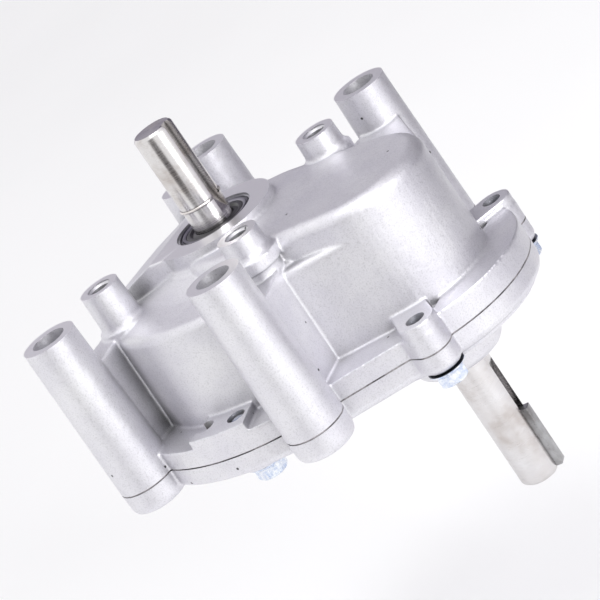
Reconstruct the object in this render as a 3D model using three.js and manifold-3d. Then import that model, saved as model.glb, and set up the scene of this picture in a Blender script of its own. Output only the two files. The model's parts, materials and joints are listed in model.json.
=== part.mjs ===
// Single-stage reduction gearbox: a cast housing with four mounting posts, a bolted cover,
// an output shaft on the Z axis and an input pinion shaft beside it.
// Millimetres, +Z up. The origin is where the output shaft's axis crosses the plane of the post tops.
import * as THREE from 'three';
import { mergeVertices } from 'three/addons/utils/BufferGeometryUtils.js';
import Module from 'manifold-3d';

const wasm = await Module();
wasm.setup();

// ---------- driving dimensions ----------
const CENTRE_DISTANCE = 75;          // output axis to input axis, along X
const MODULE = 2;
const GEAR_TEETH = 58;
const PINION_TEETH = 17;
const PRESSURE_ANGLE = THREE.MathUtils.degToRad(20);
const TOOTH_THINNING = 0.12;         // taken off each flank for backlash
const SHAFT_R = 10;
const FIT = 0.2;                     // radial gap kept between round fits
const FACE_GAP = 0.1;                // gap kept between flat faces that meet

const POST = { x: 50, y: 80, topR: 13, baseR: 14.6, boreR: 8.25 };
const STUD_BOSS = { circleR: 60, topR: 9.6, baseR: 10.6, holeR: 5.9, holeDepth: 22, footZ: -30 };

const PARTING_Z = -79;
const GASKET = { top: PARTING_Z - FACE_GAP, bottom: PARTING_Z - FACE_GAP - 0.5 };
const COVER = { top: GASKET.bottom - FACE_GAP, plate: -90, nose: -92, step: 3, postBoss: -91 };
const FLANGE = { r: 88, nose: [73.5, 2.4, 53], top: -70, noseTop: -67.8, padTop: -66, lugTop: -64.6 };
const NOSE_LEDGE_X = 88;             // beyond this the joint flange is thicker, up to its noseTop

const WALL = 5.5;
const CHAMBER = { r: 70, topR: 68.5, shoulderZ: -27, edgeR: 64, edgeZ: -21.8, domeR: 48, domeZ: -19, crownR: 24, crownZ: -11 };
const NECK_R = 62;
const NOSE = { x: 74, y: 2, r: 36.5, edgeRound: 7 };
const PLATEAU = { x: 22, r: 40, z: -10.3 };   // the raised part of the neck where it runs into the chamber's crown
const NECK_STEP = 3;                 // how far the rest of the neck lies below the chamber's edge
const GUSSET = [54, 70];             // the nose wall runs on to the post beside the output shaft's keyway
const GUSSET_R = 10.3;

const SEAL_BOSS = { r: 30, top: -5.5 };
const RAMP = { startX: -24.5, slope: 0.35, endR: 66.5, halfWidth: 26.4, footZ: -40 };   // a rib down from that boss
const OUTPUT_SEAL = { r: 18.5, face: -6, height: 7 };
const INPUT_SEAL = { r: 17.5, face: -108.5, height: 7 };
const BEARING = {
  outerR: 23.5, innerR: 10, width: 14, ballR: 3.8, pitchR: 16.75, balls: 7,
  lipGap: 2.4, lipZ: 3.4, grooveZ: 1.3, ribbonHalf: 0.8, ribbonHeight: 2.8,
};
const BEARING_Z = { outputUpper: -21.5, outputLower: -88, inputUpper: -25, inputLower: -90 };

const INPUT_BOSS = { footR: 30, waistR: 25, waistZ: -97, faceR: 19.5, bottom: -109 };
const OUTPUT_END_BOSS = { footR: 31, faceR: 29, bottom: -99.5 };

const GEAR = { top: -48, bottom: -66, boreR: 12, hubR: 20, rimR: 51, webRecess: 5, holeR: 8, holes: 5, firstHole: 36 };
const PINION = { top: -47, bottom: -67 };
const OUTPUT_SHAFT = { top: 45, bottom: -95, seatR: 12, collarR: 17, chamfer: 1.2 };
const INPUT_SHAFT = { top: -18, bottom: -178, seatR: 12.5, chamfer: 1.6 };
const KEY = { width: 6, height: 6, depth: 3.5, cutterR: 28, length: 32, endMargin: 1.8 };
const OUTPUT_KEYWAY_END = -4;        // where each keyway's run-out reaches the shaft's surface
const INPUT_KEYWAY_END = -116;
const INPUT_TRAIN_TURN = THREE.MathUtils.degToRad(13);   // its keyway's heading from +X; the output's is +X
const SNAP_RING = { z: 5.2, wireR: 0.7, gapAngle: THREE.MathUtils.degToRad(60) };

const BOLT = { r: 4, holeR: 4.3, length: 22.6, flangeR: 8.9, flangeT: 1.6, headAcross: 13, headT: 7.6 };
const LUG_R = 9;
const LUG_WEB = { r: 24, y: 18 };    // where each lug's web springs from the nose rim
const LUG_PAD = { r: 8.7, back: 9, waist: 0.75 };   // reaching back from the screw, its y drawn in to `waist` of it
const PADS = [[-97, -76], [76, 97], [-162, -148], [148, 162]];   // raised bolt pads on the flange, degrees
const PAD_FOOT_Z = FLANGE.top - 2;
const PAD_R = FLANGE.r - 0.3;
const WEB = { width: 17, reach: 36, lowZ: -23.5, highZ: -20.5 };
const DOWEL = { r: 4, holeR: 4.6, top: -71, bottom: -88.7, seat: -89 };
const PAD_CIRCLE_R = 77.5;           // bolts and dowels between wall and rim of the chamber
const SPRING = { offset: 4.9, wireR: 0.6, depth: 5 };   // each seal's garter spring, off the shaft and the seal's face

const ORIGIN = [0, 0];
const polar = (r, degrees) => {
  const a = THREE.MathUtils.degToRad(degrees);
  return [r * Math.cos(a), r * Math.sin(a)];
};
const NOSE_LUGS = [[98.7, -44.3], [98.7, 49.4]];
const RIM_BOLTS = [-81, 81, -155, 155].map((angle) => polar(PAD_CIRCLE_R, angle));
const COVER_BOLTS = [...NOSE_LUGS, ...RIM_BOLTS];
const DOWELS = [-94.5, 94.5].map((angle) => polar(PAD_CIRCLE_R, angle));
const POSTS = [[-1, -1], [1, -1], [1, 1], [-1, 1]].map(([sx, sy]) => [sx * POST.x, sy * POST.y]);
const STUD_BOSSES = [-135, -45, 45, 135].map((angle) => polar(STUD_BOSS.circleR, angle));

// ---------- shape helpers ----------
// Segments of a full turn, and of each arc in an extruded outline.
const FINE = 36;
const MEDIUM = 24;
const COARSE = 12;
const ARC = 7;

function toSolid(geometry) {
  const bare = geometry.index ? geometry.clone() : geometry;
  bare.deleteAttribute('normal');
  bare.deleteAttribute('uv');
  const merged = mergeVertices(bare, 1e-4);
  return new wasm.Manifold(new wasm.Mesh({
    numProp: 3,
    vertProperties: new Float32Array(merged.attributes.position.array),
    triVerts: new Uint32Array(merged.index.array),
  }));
}

function toGeometry(solid) {
  const mesh = solid.getMesh();
  const geometry = new THREE.BufferGeometry();
  geometry.setAttribute('position', new THREE.BufferAttribute(mesh.vertProperties, 3));
  geometry.setIndex(new THREE.BufferAttribute(mesh.triVerts, 1));
  return geometry;
}

const join = (solids) => solids.reduce((a, b) => a.add(b));
const cut = (solid, tools) => solid.subtract(join(tools));

// A profile of [radius, z] points turned about a vertical axis at [x, y].
function turned(profile, [x, y] = ORIGIN, segments = MEDIUM) {
  const points = profile.map(([r, z]) => new THREE.Vector2(r, z));
  const geometry = new THREE.LatheGeometry(points, segments);
  geometry.rotateX(Math.PI / 2);
  geometry.translate(x, y, 0);
  return toSolid(geometry);
}

// A solid of revolution whose profile starts and ends on the axis, bottom first.
function rod(steps, centre, segments) {
  const last = steps[steps.length - 1];
  return turned([[0, steps[0][1]], ...steps, [0, last[1]]], centre, segments);
}

const cylinder = (r, z0, z1, centre, segments) => rod([[r, z0], [r, z1]], centre, segments);
const cone = (r0, z0, r1, z1, centre, segments) => rod([[r0, z0], [r1, z1]], centre, segments);

// A faceted hole is drawn round its circle, so that a round piece of that radius clears its flats.
const around = (r, segments) => r / Math.cos(Math.PI / segments);
const bore = (r, z0, z1, centre, segments = MEDIUM) => cylinder(around(r, segments), z0, z1, centre, segments);

function ring(r0, r1, z0, z1, centre = ORIGIN, segments = MEDIUM) {
  const inner = around(r0, segments);
  return turned([[inner, z0], [r1, z0], [r1, z1], [inner, z1], [inner, z0]], centre, segments);
}

function extruded(shape, z0, z1, curveSegments = ARC) {
  const geometry = new THREE.ExtrudeGeometry(shape, { depth: z1 - z0, bevelEnabled: false, curveSegments });
  geometry.translate(0, 0, z0);
  return toSolid(geometry);
}

// The same, with edges rounded at both ends and the outline kept.
function roundedExtrusion(shape, z0, z1, round) {
  const geometry = new THREE.ExtrudeGeometry(shape, {
    depth: z1 - z0 - 2 * round,
    bevelThickness: round,
    bevelSize: round,
    bevelOffset: -round,
    bevelSegments: 3,
    curveSegments: ARC,
  });
  geometry.translate(0, 0, z0 + round);
  return toSolid(geometry);
}

function box(x0, x1, y0, y1, z0, z1) {
  const geometry = new THREE.BoxGeometry(x1 - x0, y1 - y0, z1 - z0);
  geometry.translate((x0 + x1) / 2, (y0 + y1) / 2, (z0 + z1) / 2);
  return toSolid(geometry);
}

// An outline of [x, z] points, extruded both ways along Y.
function acrossY(points, halfWidth) {
  const shape = new THREE.Shape(points.map(([x, z]) => new THREE.Vector2(x, z)));
  const geometry = new THREE.ExtrudeGeometry(shape, { depth: 2 * halfWidth, bevelEnabled: false });
  geometry.translate(0, 0, -halfWidth);
  geometry.rotateX(Math.PI / 2);
  return toSolid(geometry);
}

// The belt-like outline round two circles, the larger one first.
function beltShape([x0, y0, r0], [x1, y1, r1]) {
  const distance = Math.hypot(x1 - x0, y1 - y0);
  const heading = Math.atan2(y1 - y0, x1 - x0);
  const spread = Math.acos((r0 - r1) / distance);
  const shape = new THREE.Shape();
  shape.absarc(x0, y0, r0, heading + spread, heading - spread + 2 * Math.PI, false);
  shape.absarc(x1, y1, r1, heading - spread, heading + spread, false);
  shape.closePath();
  return shape;
}

const belt = (a, b, z0, z1, segments) => extruded(beltShape(a, b), z0, z1, segments);

// A ring sector between two radii about the Z axis, angles in degrees.
function sector(r0, r1, from, to, z0, z1) {
  const a = THREE.MathUtils.degToRad(from);
  const b = THREE.MathUtils.degToRad(to);
  const shape = new THREE.Shape();
  shape.absarc(0, 0, r1, a, b, false);
  shape.absarc(0, 0, r0, b, a, true);
  shape.closePath();
  return extruded(shape, z0, z1, 4);
}

// ---------- housing ----------
// Outline of the joint faces: chamber rim, nose rim and the two screw lugs on the nose.
function flangeBody(z0, z1) {
  const plate = belt([0, 0, FLANGE.r], FLANGE.nose, z0, z1);
  const lugs = NOSE_LUGS.map(([x, y]) => {
    const root = [CENTRE_DISTANCE, Math.sign(y) * LUG_WEB.y, LUG_WEB.r];
    return belt(root, [x, y, LUG_R], z0, z1);
  });
  return join([plate, ...lugs]);
}

// The joint flange is a little thicker round the end of the nose.
function noseLedge() {
  const end = box(NOSE_LEDGE_X, NOSE_LEDGE_X + FLANGE.r, -FLANGE.r, FLANGE.r, PARTING_Z, FLANGE.noseTop);
  return belt([0, 0, FLANGE.r], FLANGE.nose, PARTING_Z, FLANGE.noseTop).intersect(end);
}

// The web that ties a post to the chamber wall. It runs along Y, and its top rises towards the wall.
function postWeb([x, y]) {
  const foot = (FLANGE.top + PARTING_Z) / 2;
  const length = Math.abs(y) - WEB.reach;
  const shape = new THREE.Shape();
  shape.moveTo(0, foot);
  shape.lineTo(length, foot);
  shape.lineTo(length, WEB.highZ);
  shape.lineTo(0, WEB.lowZ);
  shape.closePath();
  const geometry = new THREE.ExtrudeGeometry(shape, { depth: WEB.width, bevelEnabled: false });
  geometry.translate(0, 0, -WEB.width / 2);
  geometry.rotateX(Math.PI / 2);
  geometry.rotateZ(-Math.sign(y) * Math.PI / 2);
  geometry.translate(x, y, 0);
  return toSolid(geometry);
}

// The chamber's outer skin, or its cavity when inset by the wall thickness.
function chamberBody(inset, floor) {
  const { r, topR, shoulderZ, edgeR, edgeZ, domeR, domeZ, crownR, crownZ } = CHAMBER;
  return rod([
    [r - inset, floor],
    [topR - inset, shoulderZ - inset],
    [edgeR - inset, edgeZ - inset],
    [domeR - inset, domeZ - inset],
    [crownR - inset, crownZ - inset],
  ], ORIGIN, FINE);
}

function neckBody(inset, floor) {
  const nose = [NOSE.x, NOSE.y, NOSE.r - inset];
  const low = belt([0, 0, NECK_R - inset], nose, floor, CHAMBER.edgeZ - inset - NECK_STEP);
  const outline = beltShape([PLATEAU.x, 0, PLATEAU.r - inset], nose);
  return low.add(roundedExtrusion(outline, floor, PLATEAU.z - inset, NOSE.edgeRound));
}

// The broad rib from the seal's boss to the far edge of the chamber, before its top is cut to the slope.
function rampBlank() {
  const { endR, halfWidth, footZ } = RAMP;
  const block = box(-endR, 0, -halfWidth, halfWidth, footZ, SEAL_BOSS.top);
  return block.intersect(cylinder(endR, footZ, SEAL_BOSS.top, ORIGIN, FINE));
}

// The space over that rib. It takes the far side off the seal's boss as well.
function spaceOverRamp() {
  const { startX, slope } = RAMP;
  const farX = -CHAMBER.r;
  const farZ = SEAL_BOSS.top - slope * (startX - farX);
  return acrossY([[startX, SEAL_BOSS.top], [startX, 1], [farX, 1], [farX, farZ]], SEAL_BOSS.r);
}

function lugPad([x, y]) {
  const { r, back, waist } = LUG_PAD;
  return belt([x - back, y * waist, r + 0.1], [x, y, r], PAD_FOOT_Z, FLANGE.lugTop, 6);
}

function upperHousing() {
  const skin = join([
    chamberBody(0, PARTING_Z),
    neckBody(0, PARTING_Z),
    flangeBody(PARTING_Z, FLANGE.top),
    noseLedge(),
    belt([...GUSSET, GUSSET_R], [NOSE.x, NOSE.y, NOSE.r], PARTING_Z, WEB.highZ),
    ...PADS.map(([from, to]) => sector(CHAMBER.topR - 2, PAD_R, from, to, PAD_FOOT_Z, FLANGE.padTop)),
    ...NOSE_LUGS.map(lugPad),
    ...POSTS.map((p) => cone(POST.baseR, PARTING_Z, POST.topR, 0, p)),
    ...POSTS.map(postWeb),
    ...STUD_BOSSES.map((p) => cone(STUD_BOSS.baseR, STUD_BOSS.footZ, STUD_BOSS.topR, 0, p)),
    cone(SEAL_BOSS.r + 1, CHAMBER.edgeZ, SEAL_BOSS.r, SEAL_BOSS.top, ORIGIN, FINE),
    rampBlank(),
  ]).subtract(spaceOverRamp());
  const cavity = join([chamberBody(WALL, PARTING_Z - 1), neckBody(WALL, PARTING_Z - 1)]);
  const inputAxis = [CENTRE_DISTANCE, 0];
  const bearingSeats = [
    cylinder(BEARING.outerR + WALL - 1, BEARING_Z.inputUpper - 8, PLATEAU.z - 1, inputAxis),
    cylinder(SEAL_BOSS.r - 0.5, BEARING_Z.outputUpper - 8, CHAMBER.crownZ - 4, ORIGIN, FINE),
    ...STUD_BOSSES.map((p) => cylinder(STUD_BOSS.baseR, STUD_BOSS.footZ, CHAMBER.edgeZ - 3, p, COARSE)),
  ];
  const half = BEARING.width / 2 + FACE_GAP;
  const holes = [
    bore(BEARING.outerR + FIT, BEARING_Z.outputUpper - 10, BEARING_Z.outputUpper + half, [0, 0]),
    bore(BEARING.outerR + FIT, BEARING_Z.inputUpper - 10, BEARING_Z.inputUpper + half, inputAxis),
    bore(SHAFT_R + 6, BEARING_Z.inputUpper, BEARING_Z.inputUpper + half + 1.5, inputAxis, COARSE),
    bore(OUTPUT_SEAL.r + FIT, BEARING_Z.outputUpper, SEAL_BOSS.top + 1, [0, 0]),
    ...POSTS.map((p) => bore(POST.boreR, PARTING_Z - 1, 1, p, COARSE)),
    ...STUD_BOSSES.map((p) => bore(STUD_BOSS.holeR, -STUD_BOSS.holeDepth, 1, p, COARSE)),
    ...COVER_BOLTS.map((p) => bore(BOLT.holeR, PARTING_Z - 1, FLANGE.lugTop + 1, p, COARSE)),
    ...DOWELS.map((p) => bore(DOWEL.holeR, PARTING_Z - 1, FLANGE.lugTop + 1, p, COARSE)),
  ];
  return cut(cut(skin, [cavity]).add(join(bearingSeats)), holes);
}

function coverGasket() {
  const { top, bottom } = GASKET;
  const sheet = join([
    flangeBody(bottom, top),
    ...POSTS.map((p) => cylinder(POST.baseR - 0.2, bottom, top, p)),
  ]);
  return cut(sheet, [
    cylinder(CHAMBER.r - WALL, bottom - 1, top + 1, [0, 0], FINE),
    belt([0, 0, NECK_R - WALL], [NOSE.x, NOSE.y, NOSE.r - WALL], bottom - 1, top + 1),
    ...POSTS.map((p) => bore(POST.boreR, bottom - 1, top + 1, p, COARSE)),
    ...COVER_BOLTS.map((p) => bore(BOLT.holeR, bottom - 1, top + 1, p, COARSE)),
    ...DOWELS.map((p) => bore(DOWEL.holeR, bottom - 1, top + 1, p, COARSE)),
  ]);
}

function lowerCover() {
  const inputAxis = [CENTRE_DISTANCE, 0];
  const { footR, waistR, waistZ, faceR, bottom } = INPUT_BOSS;
  const [noseX, noseY, noseR] = FLANGE.nose;
  const seatTop = COVER.top + 1;
  const half = BEARING.width / 2 + FACE_GAP;
  const plate = join([
    flangeBody(COVER.plate, COVER.top),
    belt([0, 0, NECK_R], [noseX, noseY, noseR - COVER.step], COVER.nose, COVER.plate + 1),
    ...POSTS.map((p) => cone(POST.baseR - 0.6, COVER.postBoss, POST.baseR, COVER.top, p)),
    ...RIM_BOLTS.map((p) => cylinder(BOLT.flangeR + 0.8, COVER.plate, COVER.plate + 1, p, COARSE)),
    rod([[faceR, bottom], [faceR + 2, bottom + 2], [waistR, waistZ], [footR + 4, COVER.nose], [footR, COVER.plate]], inputAxis),
    cone(OUTPUT_END_BOSS.faceR, OUTPUT_END_BOSS.bottom, OUTPUT_END_BOSS.footR, COVER.plate, [0, 0]),
  ]);
  return cut(plate, [
    bore(BEARING.outerR + FIT, BEARING_Z.outputLower - half, seatTop, [0, 0]),
    bore(BEARING.outerR + FIT, BEARING_Z.inputLower - half, seatTop, inputAxis),
    bore(BEARING.outerR - 9, BEARING_Z.outputLower - half - 2, seatTop, [0, 0], COARSE),
    bore(SHAFT_R + 3, bottom - 1, seatTop, inputAxis, COARSE),
    bore(INPUT_SEAL.r + FIT, bottom - 1, INPUT_SEAL.face + INPUT_SEAL.height + FACE_GAP, inputAxis),
    ...POSTS.map((p) => bore(POST.boreR, COVER.postBoss - 1, seatTop, p, COARSE)),
    ...COVER_BOLTS.map((p) => bore(BOLT.holeR, COVER.nose - 1, seatTop, p, COARSE)),
    ...COVER_BOLTS.map((p) => bore(BOLT.flangeR + 0.6, COVER.nose - 1, COVER.plate, p, COARSE)),
    ...DOWELS.map((p) => bore(DOWEL.holeR, DOWEL.seat, seatTop, p, COARSE)),
  ]);
}

// ---------- gears ----------
// A spur gear's outline: involute flanks from just above the root to the tip, a tooth at `phase`.
function gearShape(teeth, phase = 0) {
  const pitchR = MODULE * teeth / 2;
  const baseR = pitchR * Math.cos(PRESSURE_ANGLE);
  const rootR = pitchR - 1.25 * MODULE;
  const tipR = pitchR + MODULE;
  const involute = (a) => Math.tan(a) - a;
  const halfAtPitch = (Math.PI * MODULE / 4 - TOOTH_THINNING) / pitchR;
  const halfAngle = (r) => {
    const a = Math.acos(baseR / Math.max(r, baseR));
    return halfAtPitch + involute(PRESSURE_ANGLE) - involute(a);
  };
  const flankStart = Math.max(baseR, rootR + 0.3);
  const flankRadii = teeth > 40 ? [flankStart, tipR] : [flankStart, (flankStart + tipR) / 2, tipR];
  const flank = [[rootR, halfAngle(baseR)], ...flankRadii.map((r) => [r, halfAngle(r)])];
  const tooth = [...flank.map(([r, a]) => [r, -a]), ...flank.reverse()];
  const shape = new THREE.Shape();
  for (let k = 0; k < teeth; k += 1) {
    const centre = phase + 2 * Math.PI * k / teeth;
    tooth.forEach(([r, a], i) => {
      const point = [r * Math.cos(centre + a), r * Math.sin(centre + a)];
      if (k + i === 0) shape.moveTo(...point);
      else shape.lineTo(...point);
    });
  }
  shape.closePath();
  return shape;
}

function outputGear() {
  const { top, bottom, boreR, hubR, rimR, webRecess, holeR, holes, firstHole } = GEAR;
  const blank = extruded(gearShape(GEAR_TEETH), bottom, top);
  const keyHalf = KEY.width / 2 + FACE_GAP;
  const keyTop = OUTPUT_SHAFT.seatR - KEY.depth + KEY.height + FIT + FACE_GAP;
  const lightening = Array.from({ length: holes }, (_, i) => polar((hubR + rimR) / 2, firstHole + i * 360 / holes));
  return cut(blank, [
    bore(boreR + FIT, bottom - 1, top + 1, ORIGIN),
    ring(hubR, rimR, top - webRecess, top + 1, ORIGIN),
    ring(hubR, rimR, bottom - 1, bottom + webRecess, ORIGIN),
    ...lightening.map((p) => bore(holeR, bottom - 1, top + 1, p, COARSE)),
    box(0, keyTop, -keyHalf, keyHalf, bottom - 1, top + 1),
  ]);
}

// ---------- shafts: each on its own axis, with its keys facing +X ----------
// A keyway milled with a disc cutter: open at one end, rising on the cutter's radius at the other.
function keywayCutter(openZ, runOutZ) {
  const { width, depth, cutterR } = KEY;
  const half = width / 2;
  const floor = SHAFT_R - depth;
  const run = Math.sqrt(cutterR ** 2 - (cutterR - depth) ** 2);
  const deepZ = runOutZ + Math.sign(openZ - runOutZ) * run;
  const slot = box(floor, SHAFT_R + 1, -half, half, Math.min(openZ, deepZ), Math.max(openZ, deepZ));
  const disc = new THREE.CylinderGeometry(cutterR, cutterR, width, 64);
  disc.translate(floor + cutterR, 0, deepZ);
  const reach = box(floor, SHAFT_R + 1, -width, width, deepZ - cutterR, deepZ + cutterR);
  return toSolid(disc).intersect(reach).add(slot);
}

function outputShaft() {
  const { top, bottom, seatR, collarR, chamfer } = OUTPUT_SHAFT;
  const seatTop = BEARING_Z.outputUpper - BEARING.width / 2 - 1;
  const shoulder = BEARING_Z.outputLower + BEARING.width / 2 + 0.3;
  const collarTop = GEAR.bottom - FACE_GAP;
  const blank = rod([
    [SHAFT_R - chamfer, bottom], [SHAFT_R, bottom + chamfer], [SHAFT_R, shoulder],
    [collarR - 3, shoulder], [collarR - 3, shoulder + 3], [collarR, shoulder + 3],
    [collarR, collarTop], [seatR, collarTop], [seatR, seatTop], [SHAFT_R, seatTop],
    [SHAFT_R, top - chamfer], [SHAFT_R - chamfer, top],
  ]);
  const { z, wireR } = SNAP_RING;
  const groove = wireR + FACE_GAP;
  const keyHalf = KEY.width / 2;
  return cut(blank, [
    keywayCutter(top + 1, OUTPUT_KEYWAY_END),
    box(seatR - KEY.depth, seatR + 1, -keyHalf, keyHalf, GEAR.bottom + 1, GEAR.top - 1),
    ring(SHAFT_R - groove, SHAFT_R + 1, z - groove, z + groove),
  ]);
}

function inputPinionShaft() {
  const { top, bottom, seatR, chamfer } = INPUT_SHAFT;
  const upperShoulder = BEARING_Z.inputUpper - BEARING.width / 2 - 0.3;
  const lowerShoulder = BEARING_Z.inputLower + BEARING.width / 2 + 0.3;
  const blank = rod([
    [SHAFT_R - chamfer, bottom], [SHAFT_R, bottom + chamfer], [SHAFT_R, lowerShoulder], [seatR, lowerShoulder],
    [seatR, upperShoulder], [SHAFT_R, upperShoulder], [SHAFT_R, top - chamfer], [SHAFT_R - chamfer, top],
  ]);
  const teeth = extruded(gearShape(PINION_TEETH, -INPUT_TRAIN_TURN), PINION.bottom, PINION.top);
  return blank.add(teeth).subtract(keywayCutter(bottom - 1, INPUT_KEYWAY_END));
}

// A square key lying in a seat of radius `seatR`.
function featherKey(seatR, z0, z1) {
  const inner = seatR - KEY.depth + FACE_GAP;
  const half = KEY.width / 2 - FACE_GAP;
  return box(inner, inner + KEY.height, -half, half, z0, z1);
}

// A round-wire ring in the output shaft's groove, open where it crosses the keyway.
function snapRing() {
  const { wireR, gapAngle } = SNAP_RING;
  const centreR = SHAFT_R + FACE_GAP;
  class WirePath extends THREE.Curve {
    getPoint(t, target = new THREE.Vector3()) {
      const a = gapAngle / 2 + (2 * Math.PI - gapAngle) * t;
      return target.set(centreR * Math.cos(a), centreR * Math.sin(a), 0);
    }
  }
  const section = new THREE.Shape();
  section.absarc(0, 0, wireR, 0, 2 * Math.PI, false);
  return toSolid(new THREE.ExtrudeGeometry(section, {
    extrudePath: new WirePath(), steps: 20, bevelEnabled: false, curveSegments: 3,
  }));
}

function gearSpacer() {
  const { seatR } = OUTPUT_SHAFT;
  const top = BEARING_Z.outputUpper - BEARING.width / 2 - 1.2;
  return ring(seatR + FIT, seatR + 3.5, GEAR.top + FACE_GAP, top, ORIGIN, COARSE);
}

// ---------- bearings: each about its own centre ----------
function outerRace() {
  const { outerR, width, ballR, pitchR, lipGap, lipZ, grooveZ } = BEARING;
  const lip = around(pitchR + lipGap, COARSE);
  const groove = around(pitchR + ballR + FIT, COARSE);
  const half = width / 2;
  return turned([
    [outerR, -half], [outerR, half], [lip, half], [lip, lipZ], [groove, grooveZ],
    [groove, -grooveZ], [lip, -lipZ], [lip, -half], [outerR, -half],
  ], ORIGIN, COARSE);
}

function innerRace() {
  const { innerR, width, ballR, pitchR, lipGap, lipZ, grooveZ } = BEARING;
  const seat = around(innerR + FIT, COARSE);
  const lip = pitchR - lipGap;
  const groove = pitchR - ballR - FIT * 1.6;
  const half = width / 2;
  return turned([
    [seat, -half], [lip, -half], [lip, -lipZ], [groove, -grooveZ],
    [groove, grooveZ], [lip, lipZ], [lip, half], [seat, half], [seat, -half],
  ], ORIGIN, COARSE);
}

// The balls and the ribbon cage that spaces them go round as one unit, so they are one solid.
function ballCage() {
  const { ballR, pitchR, balls, ribbonHalf, ribbonHeight } = BEARING;
  const ribbon = ring(pitchR - ribbonHalf, pitchR + ribbonHalf, -ribbonHeight / 2, ribbonHeight / 2, ORIGIN, 2 * balls);
  return join([ribbon, ...Array.from({ length: balls }, (_, i) => {
    const [x, y] = polar(pitchR, i * 360 / balls);
    const ball = new THREE.SphereGeometry(ballR, 6, 4);
    ball.translate(x, y, 0);
    return toSolid(ball);
  })]);
}

// ---------- seals and fasteners ----------
// A radial lip seal with its sealed side up: an outer shell, an end wall and a lip that leans on the shaft.
function oilSeal({ r, height }) {
  const lipR = around(SHAFT_R + FIT, COARSE);
  const shell = 1.6;
  const wall = 2.4;
  return turned([
    [r, 0], [r, height], [r - shell, height], [r - shell, wall],
    [lipR + 3.2, wall], [lipR + 2.4, height - 1], [lipR, height - 2.2], [lipR + 0.9, 1.4],
    [lipR, 0.6], [lipR + 0.6, 0], [r, 0],
  ], ORIGIN, COARSE);
}

const garterSpring = () => toSolid(new THREE.TorusGeometry(SHAFT_R + SPRING.offset, SPRING.wireR, 5, COARSE));

// A hex flange bolt hanging head down: the origin is in its seat.
function flangeBolt() {
  const { r, length, flangeR, flangeT, headAcross, headT } = BOLT;
  const hex = cylinder(headAcross / Math.sqrt(3), -headT, -flangeT / 2, ORIGIN, 6);
  const shank = rod([[flangeR, -flangeT], [flangeR, 0], [r, 0], [r, length - 1], [r - 1, length]], ORIGIN, COARSE);
  return hex.add(shank);
}

function dowelPin() {
  const { r, top, bottom } = DOWEL;
  const chamfer = 0.6;
  return rod([[r - chamfer, bottom], [r, bottom + chamfer], [r, top - chamfer], [r - chamfer, top]], ORIGIN, COARSE);
}

// ---------- materials ----------
const finish = (color, roughness, metalness) => () => new THREE.MeshStandardMaterial({ color, roughness, metalness });
const castAluminium = finish(0xc9cacd, 0.55, 0.6);
const groundSteel = finish(0xb8b7b6, 0.22, 1);
const gearSteel = finish(0x8f9194, 0.35, 1);
const bearingSteel = finish(0xa9abae, 0.25, 1);
const brass = finish(0xb08d4a, 0.4, 1);
const blackRubber = finish(0x1c1b1d, 0.6, 0);
const gasketPaper = finish(0x2b2a2b, 0.9, 0);
const zincPlate = finish(0xc3cbe0, 0.3, 1);

// ---------- assembly ----------
const gearbox = new THREE.Group();
const casing = new THREE.Group();
const outputTrain = new THREE.Group();
const inputTrain = new THREE.Group();
gearbox.add(casing, outputTrain, inputTrain);
inputTrain.position.x = CENTRE_DISTANCE;
inputTrain.rotation.z = INPUT_TRAIN_TURN;

function place(group, name, solid, material, position = [0, 0, 0]) {
  const mesh = new THREE.Mesh(toGeometry(solid), material());
  mesh.name = name;
  mesh.position.set(...position);
  group.add(mesh);
  return mesh;
}

place(casing, 'upper_housing', upperHousing(), castAluminium);
place(casing, 'lower_cover', lowerCover(), castAluminium);
place(casing, 'cover_gasket', coverGasket(), gasketPaper);
COVER_BOLTS.forEach(([x, y], i) => {
  place(casing, `cover_bolt_${i + 1}`, flangeBolt(), zincPlate, [x, y, COVER.plate - FACE_GAP]);
});
DOWELS.forEach(([x, y], i) => place(casing, `dowel_pin_${i + 1}`, dowelPin(), groundSteel, [x, y, 0]));

// The output seal is turned over, because its sealed side is below it.
const outputSeal = place(casing, 'output_oil_seal', oilSeal(OUTPUT_SEAL), blackRubber, [0, 0, OUTPUT_SEAL.face]);
outputSeal.rotation.x = Math.PI;
const inputSealAt = [CENTRE_DISTANCE, 0, INPUT_SEAL.face];
place(casing, 'input_oil_seal', oilSeal(INPUT_SEAL), blackRubber, inputSealAt);
place(casing, 'output_seal_spring', garterSpring(), groundSteel, [0, 0, OUTPUT_SEAL.face - SPRING.depth]);
const inputSpringAt = [CENTRE_DISTANCE, 0, INPUT_SEAL.face + SPRING.depth];
place(casing, 'input_seal_spring', garterSpring(), groundSteel, inputSpringAt);

place(outputTrain, 'output_shaft', outputShaft(), groundSteel);
place(outputTrain, 'output_gear', outputGear(), gearSteel);
place(outputTrain, 'gear_key', featherKey(OUTPUT_SHAFT.seatR, GEAR.bottom + 1.2, GEAR.top - 1.2), gearSteel);
place(outputTrain, 'gear_spacer', gearSpacer(), groundSteel);
place(outputTrain, 'shaft_snap_ring', snapRing(), groundSteel, [0, 0, SNAP_RING.z]);

const inputKeyEnd = INPUT_SHAFT.bottom + KEY.endMargin;
place(inputTrain, 'input_pinion_shaft', inputPinionShaft(), groundSteel);
place(inputTrain, 'input_shaft_key', featherKey(SHAFT_R, inputKeyEnd, inputKeyEnd + KEY.length), gearSteel);

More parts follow.
